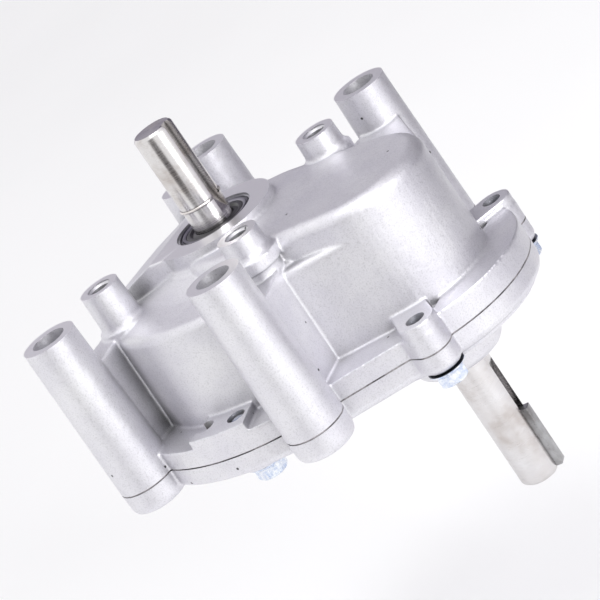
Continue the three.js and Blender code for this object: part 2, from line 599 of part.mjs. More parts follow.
const BEARINGS = [
  ['output_upper_bearing', 0, BEARING_Z.outputUpper, outputTrain],
  ['output_lower_bearing', 0, BEARING_Z.outputLower, outputTrain],
  ['input_upper_bearing', CENTRE_DISTANCE, BEARING_Z.inputUpper, inputTrain],
  ['input_lower_bearing', CENTRE_DISTANCE, BEARING_Z.inputLower, inputTrain],
];
for (const [name, x, z, train] of BEARINGS) {
  place(casing, `${name}_outer_race`, outerRace(), bearingSteel, [x, 0, z]);
  place(casing, `${name}_ball_cage`, ballCage(), brass, [x, 0, z]);
  place(train, `${name}_inner_race`, innerRace(), bearingSteel, [0, 0, z]);
}

export default gearbox;
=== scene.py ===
import json
import math

import bmesh
import bpy
from mathutils import Matrix, Vector, noise

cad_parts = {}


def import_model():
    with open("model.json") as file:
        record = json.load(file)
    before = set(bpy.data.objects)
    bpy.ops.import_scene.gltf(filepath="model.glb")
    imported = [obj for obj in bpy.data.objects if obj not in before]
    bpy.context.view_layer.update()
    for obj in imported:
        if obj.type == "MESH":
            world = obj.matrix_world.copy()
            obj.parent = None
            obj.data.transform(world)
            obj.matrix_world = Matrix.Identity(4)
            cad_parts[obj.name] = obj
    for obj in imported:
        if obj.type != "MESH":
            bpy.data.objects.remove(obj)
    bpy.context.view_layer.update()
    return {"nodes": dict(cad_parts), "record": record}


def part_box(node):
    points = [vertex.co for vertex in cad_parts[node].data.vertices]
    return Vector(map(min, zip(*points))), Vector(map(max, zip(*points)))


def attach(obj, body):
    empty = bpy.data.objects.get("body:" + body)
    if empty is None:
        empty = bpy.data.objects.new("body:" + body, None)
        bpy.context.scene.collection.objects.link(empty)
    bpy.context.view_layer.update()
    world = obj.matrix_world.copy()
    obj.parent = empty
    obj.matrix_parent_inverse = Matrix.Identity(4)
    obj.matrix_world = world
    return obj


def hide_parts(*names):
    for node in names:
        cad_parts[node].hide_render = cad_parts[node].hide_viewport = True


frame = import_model()

# Shapes are drawn in millimetres in the CAD's own frame, and scaled to metres when they are finished.
MM = 0.001


# ---------- places and sizes read from the frame ----------
def low(node):
    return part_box(node)[0] / MM


def high(node):
    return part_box(node)[1] / MM


def axis_of(node):
    middle = (low(node) + high(node)) / 2
    return (middle.x, middle.y)


def opening_centres(prefix):
    boxes = [o["box_m"] for o in frame["record"]["physics"]["openings"] if o["name"].startswith(prefix)]
    return [((a[0] + b[0]) / 2 / MM, (a[1] + b[1]) / 2 / MM) for a, b in boxes]


POSTS = opening_centres("mounting_bolt_hole")
STUD_BOSSES = opening_centres("stud_boss_hole")
BOLTS = [axis_of(f"cover_bolt_{i}") for i in range(1, 7)]
NOSE_BOLTS, RIM_BOLTS = BOLTS[:2], BOLTS[2:]
DOWELS = [axis_of(f"dowel_pin_{i}") for i in (1, 2)]
OUTPUT = (0.0, 0.0)
INPUT = axis_of("input_lower_bearing_outer_race")
PARTING = low("upper_housing").z
COVER_TOP = high("lower_cover").z
FLANGE_R = -low("cover_gasket").x


def key_heading(node, centre):
    """The direction from a shaft's axis to its key, in radians."""
    middle = (high(node) + low(node)) / 2
    return math.atan2(middle.y - centre[1], middle.x - centre[0])


OUTPUT_HEADING = key_heading("gear_key", OUTPUT)
INPUT_HEADING = key_heading("input_shaft_key", INPUT)

# ---------- sizes of the upper housing ----------
# A profile is a list of (radius, z). PAST is how far a cutter runs on beyond the face that it opens.
# A skin is drawn longer than its casting by SPARE, so that the machined faces can be trimmed flat.
PAST = 8.0
SPARE = {"joint": 4.0, "post": 5.0, "seal_boss": 2.0}
TRIM = 12.0
WALL = 5.5
SKIN_FLOOR = PARTING - SPARE["joint"]
POST = {"top_r": 13.0, "base_r": 14.6, "bore_r": 8.2}
STUD = {"top_r": 9.6, "base_r": 10.8, "foot_z": -34.0, "bore_r": 5.9, "depth": 22.0, "thread": 0.9}
STUD_TIP = {"r": 0.5, "length": 3.0}
STUD_MOUTH = {"low": -1.6, "high": -0.7}
STUD_FILLET = {"inset": 0.3, "radius": 1.8, "on_plateau": -11.2, "on_chamber": -19.6}
LEDGE = -70.2
NOSE_LEDGE = {"top": -67.8, "start": -58, "end": 60}
LUG = {"r": 9.0, "root_x": 1.0, "root_y": 18.0, "root_r": 24.0}
LUG_PAD = {"top": -64.6, "r": 8.8, "root_r": 8.6, "back": 10.0, "inward": 0.72}
RIM_PAD = {"top": -66.0, "inset": 3.0, "sectors": ((-97, -76), (76, 97), (-162, -148), (148, 162))}
CHAMBER = {"r": 70.0, "top_r": 68.4, "edge_z": -21.8, "round": 5.0, "round_end": 84}
CROWN = [(48, -19.0), (40, -16.6), (30, -13.0), (24, -11.0)]
NECK = {"r": 62.0, "drop": 2.0, "round": 3.0}
NOSE = {"x": 74.0, "y": 2.0, "r": 36.6, "draft": 0.012, "roof": -46.0}
NOSE_RIM = (73.5, 2.4, 53.0)
PLATEAU = {"x": 22.0, "r": 40.0, "z": -9.9, "slope": 0.018, "round": 6.0}
WEB = {"half": 8.5, "low": -23.6, "high": -20.6, "wall_y": 38.0, "taper": 0.8, "half_at_wall": 2.0}
GUSSET = {"at": (54.0, 70.0, 10.3), "rise": 0.8}
SEAL_BOSS = {"r": 30.0, "spread": 0.8, "foot_z": -24.0, "top": -5.5}
SEAL_BOSS_FILLET = {"outset": 0.3, "z": -13.2, "radius": 2.2}
SEAL_FACE = {"inner": 11.0, "outer": 34.0, "above": 9.0}
SEAL_SEAT = {"r": 18.7, "floor": -30.0, "step_z": -6.6, "step": 0.9, "above": 3.0}
RAMP = {"near": -14.7, "start": -24.5, "end_r": 66.5, "slope": 0.35, "half": 26.4, "foot_z": -40.0,
        "spread": 1.12, "far": -80.0, "above": 14.0}
SCREW_HOLE = {"r": 4.6, "top": -50.0}

# ---------- sizes of the lower cover ----------
COVER = {"plate": -90.0, "nose": -92.0, "nose_inset": 4.0, "post": -91.0, "round": 2.5, "round_share": 0.3}
POST_FOOT = [(3.0, 0.0), (1.0, 0.8), (0.2, 3.0)]
BOLT_BOSS = {"face_r": 9.7, "root_r": 10.0, "height": 4.0}
INPUT_BOSS = [(36.0, -90.0), (31.5, -93.0), (25.5, -97.0), (21.5, -107.0), (19.5, -109.0)]
OUTPUT_END = [(33.0, -90.0), (31.0, -93.0), (29.5, -97.5), (27.5, -99.5)]
INPUT_FACE = {"inner": 10.0, "outer": 40.0, "below": 6.0}
INPUT_SEAL_BORE = [(18.6, -120.0), (17.7, -107.6), (17.7, -101.4), (13.0, -101.4), (13.0, -90.0)]
BOLT_HOLE = {"r": 4.3, "seat_r": 9.5}
DOWEL_HOLE = {"r": 4.6, "floor": -89.0}
COVER_HOLE_TOP = -60.0
BEARING = {"r": 23.6, "half": 7.1, "to_inside": 20.0}

# ---------- sizes of the shafts, the seals and the fasteners ----------
SHAFT = {"r": 10.0, "output_chamfer": 1.2, "input_chamfer": 1.6}
CHAMFER_EASE = {"in": 0.25, "share": 0.8, "length": 0.3}
KEY = {"half": 3.0, "floor": 6.5, "height": 6.0, "play": 0.1, "ease": 0.4, "cutter_r": 28.0}
KEYWAY_END = {"output": -4.0, "input": -116.0, "past": 2.0}
OUTPUT_COLLAR = [(10.0, -80.7), (16.8, -77.7), (16.8, -66.1), (12.0, -66.1), (12.0, -29.5), (10.0, -29.5)]
GEAR_KEY_SEAT = {"inner": 9.0, "outer": 13.0, "low": -65.0, "high": -49.0}
SNAP_RING = {"r": 10.1, "wire": 0.7, "half_gap": 30}
SNAP_GROOVE = {"r": 9.2, "half": 0.7, "half_mouth": 0.8}
PINION = [(10.0, -82.7), (12.5, -82.7), (12.5, -67.0), (19.0, -67.0), (19.0, -47.0), (12.5, -47.0),
          (12.5, -32.3)]
PINION_TAIL = [(10.0, -32.3), (10.0, -19.0), (8.5, -18.0)]
TEETH = {"count": 17, "low": -68.0, "high": -46.0}
TOOTH_GAP = [(14.4, 0.07), (17.0, 0.106), (20.5, 0.165)]
# The seals' profiles are (radius, depth under the seal's face). CASE_RIM has insets from the case's outside
# instead of radii.
SEAL_LIP = [(15.2, 0.9), (14.6, 0.5), (13.2, 0.5), (12.2, 1.4), (10.3, 0.7), (10.2, 2.2), (11.6, 4.2),
            (15.2, 4.2)]
CASE_TOP = [(15.3, 0.7), (16.0, 0.25)]
CASE_RIM = [(1.6, 0.25), (1.2, 0.9), (0.6, 0.9), (0.3, 0.0), (0.0, 0.4), (0.0, 7.0), (1.6, 7.0)]
CASE_BOTTOM = [(15.3, 2.4)]
BOLT = {"head": 7.6, "across_flats": 13.0, "shank_r": 4.0, "tip_r": 3.2, "tip": 1.2, "hex_into_flange": 1.0,
        "first_turn": 8, "turn": 17}
BOLT_FLANGE = [(7.2, 1.9), (8.5, 1.0), (8.9, 0.6), (8.9, 0.0)]
BOLT_CROWN = [(5.6, 0.0), (6.6, 0.5), (7.7, 1.6)]
DOWEL_BOTTOM = [(3.3, 0.0), (4.0, 0.8)]
DOWEL_TOP = [(4.0, 0.9), (3.6, 0.2), (3.2, 0.0)]

# ---------- how finely the castings are made ----------
VOXEL = 0.6
CAST_SMOOTHING = 5


# ---------- mesh building ----------
def arc(cx, cy, r, start, end, steps=24):
    """Points on an arc, angles in degrees."""
    angles = [math.radians(start + (end - start) * i / steps) for i in range(steps + 1)]
    return [(cx + r * math.cos(a), cy + r * math.sin(a)) for a in angles]


def belt(a, b, steps=32):
    """Outline round two circles (x, y, r), anticlockwise."""
    distance = math.hypot(b[0] - a[0], b[1] - a[1])
    heading = math.degrees(math.atan2(b[1] - a[1], b[0] - a[0]))
    spread = math.degrees(math.acos((a[2] - b[2]) / distance))
    return (arc(*a, heading + spread, heading + 360 - spread, steps)
            + arc(*b, heading - spread, heading + spread, steps))


def loft(bm, rings):
    """A closed solid through rings of equal length, lowest first, with flat ends."""
    layers = [[bm.verts.new(p) for p in ring] for ring in rings]
    for below, above in zip(layers, layers[1:]):
        for i in range(len(below)):
            j = (i + 1) % len(below)
            bm.faces.new((below[i], below[j], above[j], above[i]))
    bm.faces.new(layers[0][::-1])
    bm.faces.new(layers[-1])


def prism(bm, outline, z0, z1):
    loft(bm, [[(x, y, z) for x, y in outline] for z in (z0, z1)])


def lathe(bm, profile, centre=OUTPUT, steps=96):
    """Turns (r, z) points about a vertical axis. They start and end on the axis, or are a closed loop."""
    cx, cy = centre
    closed = profile[0][0] > 0
    rings = []
    for r, z in profile:
        if r == 0:
            rings.append([bm.verts.new((cx, cy, z))])
            continue
        rings.append([bm.verts.new((x, y, z)) for x, y in arc(cx, cy, r, 0, 360, steps)[:-1]])
    pairs = list(zip(rings, rings[1:]))
    if closed:
        pairs.append((rings[-1], rings[0]))
    for a, b in pairs:
        for i in range(steps):
            j = (i + 1) % steps
            corners = [a[i % len(a)], a[j % len(a)], b[j % len(b)], b[i % len(b)]]
            bm.faces.new(list(dict.fromkeys(corners)))


def rod(bm, steps_up, centre=OUTPUT, steps=96):
    """A solid of revolution from (r, z) points, with flat ends on the axis."""
    lathe(bm, [(0, steps_up[0][1]), *steps_up, (0, steps_up[-1][1])], centre, steps)


def tube_ring(bm, r0, r1, z0, z1, centre=OUTPUT, steps=96):
    lathe(bm, [(r0, z0), (r1, z0), (r1, z1), (r0, z1)], centre, steps)


def turned(points, centre, heading):
    """Points (along, across) of a shaft's cross-section, turned to its key's heading."""
    c, s = math.cos(heading), math.sin(heading)
    return [(centre[0] + u * c - v * s, centre[1] + u * s + v * c) for u, v in points]


def trimming_slab(bm, z0, z1):
    """A slab wider than the gearbox. Its faces are split up, so that no cut face has a tangled outline."""
    left, right, side = -120, 150, 120
    prism(bm, [(left, -side), (right, -side), (right, side), (left, side)], z0, z1)
    bmesh.ops.subdivide_edges(bm, edges=bm.edges[:], cuts=40, use_grid_fill=True)


def rounded_belt(bm, a, b, z0, top, radius, draft=0.0):
    """A belt-shaped body with a rounded top edge. `top` gives the height at (x, y)."""
    def ring(inset, drop):
        outline = belt((a[0], a[1], a[2] - inset), (b[0], b[1], b[2] - inset))
        return [(x, y, top(x, y) - drop) for x, y in outline]

    spread = abs(z0) * draft
    rings = [[(x, y, z0) for x, y in belt((a[0], a[1], a[2] + spread), (b[0], b[1], b[2] + spread))]]
    steps = 8
    for i in range(steps + 1):
        t = math.pi / 2 * i / steps
        rings.append(ring(radius * (1 - math.cos(t)), radius * (1 - math.sin(t))))
    inner = rings[-1]
    mx, my = (a[0] + b[0]) / 2, (a[1] + b[1]) / 2
    for share in (0.75, 0.5, 0.25, 0.05):
        scaled = [(mx + (x - mx) * share, my + (y - my) * share) for x, y, _ in inner]
        rings.append([(x, y, top(x, y)) for x, y in scaled])
    loft(bm, rings)


def round_foot(bm, centre, r, z, radius, steps=64):
    """The concave fillet at a boss's foot, where it stands on a surface at height `z`."""
    buried, facets = 6, 6
    turns = [math.pi / 2 * i / facets for i in range(facets + 1)]
    curve = [(r + radius * (1 - math.sin(t)), z + radius * (1 - math.cos(t))) for t in turns]
    rod(bm, [(r + radius, z - buried), *curve], centre, steps)


def make(name, build):
    """A new object from a function that fills a bmesh."""
    bm = bmesh.new()
    build(bm)
    bmesh.ops.recalc_face_normals(bm, faces=bm.faces)
    mesh = bpy.data.meshes.new(name)
    bm.to_mesh(mesh)
    bm.free()
    obj = bpy.data.objects.new(name, mesh)
    bpy.context.scene.collection.objects.link(obj)
    return obj


def apply_modifiers(obj):
    graph = bpy.context.evaluated_depsgraph_get()
    mesh = bpy.data.meshes.new_from_object(obj.evaluated_get(graph))
    obj.modifiers.clear()
    old = obj.data
    obj.data = mesh
    bpy.data.meshes.remove(old)


def boolean(obj, tool, operation="DIFFERENCE"):
    mod = obj.modifiers.new("boolean", "BOOLEAN")
    mod.operation = operation
    mod.solver = "MANIFOLD"
    mod.object = tool
    apply_modifiers(obj)
    bpy.data.objects.remove(tool)
    if not obj.data.polygons:
        raise RuntimeError(f"{obj.name}: the boolean left nothing")


def cast(obj, bumps=0.05):
    """Joins overlapping solids into one skin with soft corners, and makes it uneven by about `bumps`."""
    remesh = obj.modifiers.new("remesh", "REMESH")
    remesh.mode = "VOXEL"
    remesh.voxel_size = VOXEL
    soften = obj.modifiers.new("soften", "SMOOTH")
    soften.factor = 0.5
    soften.iterations = CAST_SMOOTHING
    apply_modifiers(obj)
    normals = [v.normal.copy() for v in obj.data.vertices]
    broad, fine = 9, 3.5
    for vertex, normal in zip(obj.data.vertices, normals):
        p = vertex.co
        height = noise.noise(p / broad) + 0.5 * noise.noise(p / fine)
        vertex.co = p + normal * (bumps * height)


def finish_piece(obj, body, material, slot, *nodes):
    """Scales a piece to metres, and hands it to the frame with its material."""
    obj.data.transform(Matrix.Scale(MM, 4))
    obj.data.materials.clear()
    obj.data.materials.append(material)
    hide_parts(*nodes)
    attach(obj, body)


def shade(obj, angle=35):
    """Smooth shading that keeps edges sharper than `angle` degrees."""
    for polygon in obj.data.polygons:
        polygon.use_smooth = True
    obj.data.set_sharp_from_angle(angle=math.radians(angle))


# ---------- materials ----------
class Tree:
    """Short calls for building a node tree."""

    def __init__(self, tree):
        self.tree = tree

    def link(self, source, target):
        self.tree.links.new(source, target)

    def feed(self, socket, value):
        if isinstance(value, (int, float)):
            socket.default_value = value
        elif isinstance(value, tuple):
            socket.default_value = (*value, 1)
        else:
            self.link(value, socket)

    def ramp(self, source, stops):
        node = self.tree.nodes.new("ShaderNodeValToRGB")
        elements = node.color_ramp.elements
        while len(elements) < len(stops):
            elements.new(0.5)
        for element, (position, colour) in zip(elements, stops):
            element.position = position
            element.color = (*colour, 1) if isinstance(colour, tuple) else (colour, colour, colour, 1)
        self.link(source, node.inputs["Fac"])
        return node.outputs["Color"]

    def mix(self, factor, a, b, blend="MIX"):
        node = self.tree.nodes.new("ShaderNodeMix")
        node.data_type = "RGBA"
        node.blend_type = blend
        colour_a, colour_b, result = 6, 7, 2
        for index, value in ((0, factor), (colour_a, a), (colour_b, b)):
            self.feed(node.inputs[index], value)
        return node.outputs[result]

    def times(self, a, b):
        return self.mix(1.0, a, b, "MULTIPLY")


class Nodes(Tree):
    """One material's node tree. Texture scales count per metre of the object."""

    def __init__(self, name):
        self.material = bpy.data.materials.new(name)
        self.material.use_nodes = True
        super().__init__(self.material.node_tree)
        self.shader = self.tree.nodes["Principled BSDF"]
        coordinates = self.tree.nodes.new("ShaderNodeTexCoord")
        self.place = coordinates.outputs["Object"]
        self.facing = coordinates.outputs["Normal"]

    def noise(self, scale, detail=3, roughness=0.6, place=None):
        node = self.tree.nodes.new("ShaderNodeTexNoise")
        node.inputs["Scale"].default_value = scale
        node.inputs["Detail"].default_value = detail
        node.inputs["Roughness"].default_value = roughness
        self.link(place or self.place, node.inputs["Vector"])
        return node.outputs["Fac"]

    def stretched(self, x, y, z):
        node = self.tree.nodes.new("ShaderNodeMapping")
        node.inputs["Scale"].default_value = (x, y, z)
        self.link(self.place, node.inputs["Vector"])
        return node.outputs["Vector"]

    def cells(self, scale):
        node = self.tree.nodes.new("ShaderNodeTexVoronoi")
        node.inputs["Scale"].default_value = scale
        self.link(self.place, node.inputs["Vector"])
        return node.outputs["Distance"]

    def math(self, operation, a, b):
        node = self.tree.nodes.new("ShaderNodeMath")
        node.operation = operation
        self.feed(node.inputs[0], a)
        self.feed(node.inputs[1], b)
        return node.outputs[0]

    def machined_top(self, lowest):
        """1 on the level faces above the height `lowest`, which are the machined ones."""
        normal = self.tree.nodes.new("ShaderNodeSeparateXYZ")
        self.link(self.facing, normal.inputs[0])
        level = self.ramp(normal.outputs["Z"], [(0.985, 0.0), (0.997, 1.0)])
        height = self.tree.nodes.new("ShaderNodeSeparateXYZ")
        self.link(self.place, height.inputs[0])
        return self.math("MULTIPLY", level, self.math("GREATER_THAN", height.outputs["Z"], lowest))

    def recess(self, distance):
        """1 in the open, falling in corners closer than `distance`."""
        node = self.tree.nodes.new("ShaderNodeAmbientOcclusion")
        node.inputs["Distance"].default_value = distance
        node.samples = 6
        return node.outputs["AO"]

    def bump(self, height, distance, strength=1.0):
        node = self.tree.nodes.new("ShaderNodeBump")
        node.inputs["Strength"].default_value = strength
        node.inputs["Distance"].default_value = distance
        self.link(height, node.inputs["Height"])
        self.link(node.outputs["Normal"], self.shader.inputs["Normal"])

    def set(self, **values):
        for name, value in values.items():
            self.feed(self.shader.inputs[name.replace("_", " ").title()], value)


def cast_aluminium():
    n = Nodes("cast_aluminium")
    cloud = n.noise(35, 4)
    grain = n.noise(1500, 3, 0.7)
    skin = n.noise(260, 3)
    base = n.ramp(cloud, [(0.3, (0.68, 0.67, 0.72)), (0.7, (0.78, 0.775, 0.80))])
    flecks = n.ramp(grain, [(0.32, 0.80), (0.5, 1.0), (0.72, 1.0)])
    pits = n.ramp(n.cells(70), [(0.035, 0.12), (0.055, 1.0)])
    # Painted shade: the colour is darkened by ambient occlusion in corners, holes and recesses.
    painted_recess_shade = n.ramp(n.recess(0.012), [(0.15, 0.2), (0.4, 0.72), (0.8, 1.0)])
    colour = n.times(n.times(n.times(base, flecks), pits), painted_recess_shade)
    machined = n.machined_top(-0.006)
    n.set(base_color=n.mix(machined, colour, (0.83, 0.82, 0.845)), metallic=0.86)
    n.set(roughness=n.mix(machined, n.ramp(grain, [(0.3, 0.40), (0.7, 0.54)]), (0.36, 0.36, 0.36)))
    height = n.math("ADD", n.math("MULTIPLY", grain, 0.35), skin)
    height = n.math("MULTIPLY", height, n.ramp(machined, [(0.0, 1.0), (1.0, 0.12)]))
    n.bump(height, 0.00022, 0.75)
    return n.material


def ground_steel():
    n = Nodes("ground_steel")
    rings = n.noise(1, 3, 0.6, n.stretched(30, 30, 5200))
    stains = n.noise(55, 4, 0.65)
    base = n.ramp(stains, [(0.3, (0.50, 0.46, 0.44)), (0.5, (0.66, 0.64, 0.64)), (0.7, (0.72, 0.71, 0.72))])
    # Painted shade: the colour is darkened by ambient occlusion in corners and grooves.
    painted_corner_shade = n.ramp(n.recess(0.004), [(0.4, 0.22), (0.8, 1.0)])
    n.set(base_color=n.times(base, painted_corner_shade), metallic=1.0)
    n.set(roughness=n.ramp(rings, [(0.3, 0.17), (0.7, 0.30)]))
    tangent = n.tree.nodes.new("ShaderNodeTangent")
    tangent.direction_type = "RADIAL"
    tangent.axis = "Z"
    n.link(tangent.outputs["Tangent"], n.shader.inputs["Tangent"])
    n.set(anisotropic=0.75, anisotropic_rotation=0.25)
    n.bump(rings, 0.00001, 0.35)
    return n.material


def plain_metal(name, light, dark, roughness, scale=900):
    n = Nodes(name)
    cloud = n.noise(scale / 8, 4, 0.65)
    grain = n.noise(scale, 3)
    # Painted shade: the colour is darkened by ambient occlusion in corners.
    painted_corner_shade = n.ramp(n.recess(0.003), [(0.3, 0.3), (0.8, 1.0)])
    n.set(base_color=n.times(n.ramp(cloud, [(0.35, dark), (0.62, light)]), painted_corner_shade), metallic=1.0)
    n.set(roughness=n.ramp(grain, [(0.3, roughness * 0.8), (0.7, roughness * 1.25)]))
    n.bump(grain, 0.00003, 0.4)
    return n.material


def dark_sheet(name, light, dark, roughness, scale):
    n = Nodes(name)
    grain = n.noise(scale * 12, 2)
    n.set(base_color=n.ramp(n.noise(scale, 3), [(0.35, dark), (0.65, light)]))
    n.set(roughness=n.ramp(grain, [(0.3, roughness * 0.85), (0.7, roughness * 1.15)]))
    n.bump(grain, 0.00003, 0.4)
    return n.material


CAST = cast_aluminium()
STEEL = ground_steel()
GEAR_STEEL = plain_metal("gear_steel", (0.42, 0.42, 0.43), (0.25, 0.24, 0.24), 0.32)
RACE_STEEL = plain_metal("bearing_steel", (0.62, 0.63, 0.65), (0.5, 0.5, 0.52), 0.2)
BRASS = plain_metal("brass", (0.69, 0.55, 0.29), (0.52, 0.40, 0.20), 0.35)
ZINC = plain_metal("zinc_plate", (0.84, 0.86, 0.90), (0.50, 0.58, 0.76), 0.24, 3600)
RING_STEEL = plain_metal("ring_steel", (0.80, 0.76, 0.74), (0.62, 0.58, 0.56), 0.28)
PIN_STEEL = plain_metal("pin_steel", (0.26, 0.20, 0.15), (0.09, 0.07, 0.06), 0.4)
SEAL_CASE = plain_metal("seal_case", (0.34, 0.33, 0.37), (0.26, 0.25, 0.29), 0.34)
RUBBER = dark_sheet("black_rubber", (0.030, 0.028, 0.032), (0.012, 0.011, 0.013), 0.34, 150)
GASKET = dark_sheet("gasket_paper", (0.34, 0.32, 0.33), (0.05, 0.045, 0.05), 0.8, 160)


# ---------- upper housing ----------
def plateau_top(x, y):
    return PLATEAU["z"] - PLATEAU["slope"] * max(0.0, math.hypot(x, y) - SEAL_BOSS["r"])


def chamber_profile():
    r = CHAMBER["round"]
    corner = arc(CHAMBER["top_r"] - r, CHAMBER["edge_z"] - r, r, 0, CHAMBER["round_end"], 10)
    return [(CHAMBER["r"], SKIN_FLOOR), *corner, *CROWN]


def flange(bm, z0, z1, inset=0.0):
    """The joint flange: chamber rim, nose rim and the two screw lugs."""
    nose = (NOSE_RIM[0], NOSE_RIM[1], NOSE_RIM[2] - inset)
    prism(bm, belt((0, 0, FLANGE_R - inset), nose, 48), z0, z1)
    for x, y in NOSE_BOLTS:
        root = (NOSE["x"] + LUG["root_x"], math.copysign(LUG["root_y"], y), LUG["root_r"] - inset)
        prism(bm, belt(root, (x, y, LUG["r"] - inset)), z0, z1)


def rim_pad(bm, start, end):
    """A raised part of the flange's rim, between two angles in degrees."""
    inner_r = CHAMBER["top_r"] - RIM_PAD["inset"]
    outline = arc(0, 0, FLANGE_R, start, end, 12) + arc(0, 0, inner_r, end, start, 12)
    prism(bm, outline, SKIN_FLOOR, RIM_PAD["top"])


def nose_ledge(bm):
    """The flange is thicker round the end of the nose, between the lugs."""
    x, y, r = NOSE_RIM
    prism(bm, arc(x, y, r, NOSE_LEDGE["start"], NOSE_LEDGE["end"], 32), SKIN_FLOOR, NOSE_LEDGE["top"])


def lug_pad(bm, x, y):
    """The raised pad round a screw lug's hole."""
    root = (x - LUG_PAD["back"], y * LUG_PAD["inward"], LUG_PAD["root_r"])
    prism(bm, belt(root, (x, y, LUG_PAD["r"])), SKIN_FLOOR, LUG_PAD["top"])


def post_web(bm, x, y):
    """The web that ties a post to the wall along Y, its top rising towards the wall."""
    inward = -math.copysign(1, y)
    wall = y + inward * (abs(y) - WEB["wall_y"])
    side = math.copysign(1, x)
    outer, inner = x + side * (WEB["half"] - WEB["taper"]), x - side * WEB["half"]
    at_wall = x + side * WEB["half_at_wall"]
    outline = [(inner, y), (outer, y), (at_wall, wall), (inner, wall)]
    heights = [WEB["low"], WEB["low"], WEB["high"], WEB["high"]]
    foot = [(px, py, SKIN_FLOOR) for px, py in outline]
    top = [(px, py, z) for (px, py), z in zip(outline, heights)]
    loft(bm, [foot, top])


def ramp_height(x):
    return SEAL_BOSS["top"] - RAMP["slope"] * max(0.0, RAMP["start"] - x)


def seal_ramp(bm):
    """The broad sloping rib from the output seal's boss down to the far edge of the chamber."""
    half, end_r = RAMP["half"], RAMP["end_r"]
    reach = math.degrees(math.asin(half / end_r))
    outline = [(RAMP["near"], half), (RAMP["start"], half), *arc(0, 0, end_r, 180 - reach, 180 + reach, 10),
               (RAMP["start"], -half), (RAMP["near"], -half)]
    foot = [(x, y * RAMP["spread"], RAMP["foot_z"]) for x, y in outline]
    loft(bm, [foot, [(x, y, ramp_height(x)) for x, y in outline]])


def stud_boss(bm, x, y):
    """A small boss for a stud, with a fillet where it stands on the plateau or on the chamber."""
    rod(bm, [(STUD["base_r"], STUD["foot_z"]), (STUD["top_r"], SPARE["post"])], (x, y), 64)
    stands_on = STUD_FILLET["on_plateau"] if x > 0 else STUD_FILLET["on_chamber"]
    round_foot(bm, (x, y), STUD["base_r"] - STUD_FILLET["inset"], stands_on, STUD_FILLET["radius"])


def seal_boss(bm):
    """The round boss that the output seal sits in."""
    r = SEAL_BOSS["r"]
    rod(bm, [(r + SEAL_BOSS["spread"], SEAL_BOSS["foot_z"]), (r, SPARE["seal_boss"])], steps=128)
    fillet = SEAL_BOSS_FILLET
    round_foot(bm, OUTPUT, r + fillet["outset"], fillet["z"], fillet["radius"], 128)


def housing_skin(bm):
    nose = (NOSE["x"], NOSE["y"], NOSE["r"])
    neck_z = CHAMBER["edge_z"] - NECK["drop"]
    plateau = (PLATEAU["x"], 0, PLATEAU["r"])
    rod(bm, chamber_profile(), steps=144)
    rounded_belt(bm, (0, 0, NECK["r"]), nose, SKIN_FLOOR, lambda x, y: neck_z, NECK["round"], NOSE["draft"])
    rounded_belt(bm, plateau, nose, SKIN_FLOOR, plateau_top, PLATEAU["round"], NOSE["draft"])
    prism(bm, belt(GUSSET["at"], nose), SKIN_FLOOR, WEB["high"] + GUSSET["rise"])
    seal_ramp(bm)
    flange(bm, SKIN_FLOOR, LEDGE)
    nose_ledge(bm)
    for start, end in RIM_PAD["sectors"]:
        rim_pad(bm, start, end)
    for x, y in NOSE_BOLTS:
        lug_pad(bm, x, y)
    for x, y in POSTS:
        rod(bm, [(POST["base_r"], SKIN_FLOOR), (POST["top_r"], SPARE["post"])], (x, y), 64)
        post_web(bm, x, y)
    for x, y in STUD_BOSSES:
        stud_boss(bm, x, y)
    seal_boss(bm)


def seal_face_trim(bm):
    tube_ring(bm, SEAL_FACE["inner"], SEAL_FACE["outer"], SEAL_BOSS["top"], SEAL_FACE["above"])


def ramp_trim(bm):
    """The space over the ramp, which also takes the far side off the seal's boss."""
    start, far, half = RAMP["start"], RAMP["far"], SEAL_BOSS["r"] + 1
    corners = [(far, -half), (start, -half), (start, half), (far, half)]
    loft(bm, [[(x, y, ramp_height(x)) for x, y in corners], [(x, y, RAMP["above"]) for x, y in corners]])


def stud_hole(bm, x, y):
    """A blind tapped hole with a drill's cone at its end and a wider mouth."""
    floor_z, mouth_r = -STUD["depth"], STUD["bore_r"]
    tapped_r = mouth_r - STUD["thread"]
    cone = [(STUD_TIP["r"], floor_z - STUD_TIP["length"]), (tapped_r, floor_z)]
    mouth = [(tapped_r, STUD_MOUTH["low"]), (mouth_r, STUD_MOUTH["high"]), (mouth_r, PAST)]
    rod(bm, cone + mouth, (x, y), 48)


def seal_seat(bm):
    """The bore that the output seal is pressed into, wider above its step."""
    r, step_z = SEAL_SEAT["r"], SEAL_SEAT["step_z"]
    wider = r + SEAL_SEAT["step"]
    rod(bm, [(r, SEAL_SEAT["floor"]), (r, step_z), (wider, step_z), (wider, SEAL_SEAT["above"])], steps=128)


def housing_holes(bm):
    for x, y in POSTS:
        rod(bm, [(POST["bore_r"], PARTING - PAST), (POST["bore_r"], PAST)], (x, y), 64)
    for x, y in STUD_BOSSES:
        stud_hole(bm, x, y)
    for x, y in BOLTS + DOWELS:
        rod(bm, [(SCREW_HOLE["r"], PARTING - PAST), (SCREW_HOLE["r"], SCREW_HOLE["top"])], (x, y), 40)
    seal_seat(bm)


def chamber_cavity(bm):
    rod(bm, [(r - WALL, z - WALL) for r, z in chamber_profile()], steps=96)


def nose_cavity(bm):
    outline = belt((0, 0, NECK["r"] - WALL), (NOSE["x"], NOSE["y"], NOSE["r"] - WALL))
    prism(bm, outline, PARTING - PAST, NOSE["roof"])


def bearing_bore(bm, node, below, above):
    """A bearing's bore, carried on below or above it as far as the inside of the gearbox."""
    middle = (low(node).z + high(node).z) / 2
    r, half = BEARING["r"], BEARING["half"]
    rod(bm, [(r, middle - half - below), (r, middle + half + above)], axis_of(node), 64)


def upper_bores(bm):
    for shaft in ("output", "input"):
        bearing_bore(bm, f"{shaft}_upper_bearing_outer_race", BEARING["to_inside"], 0)


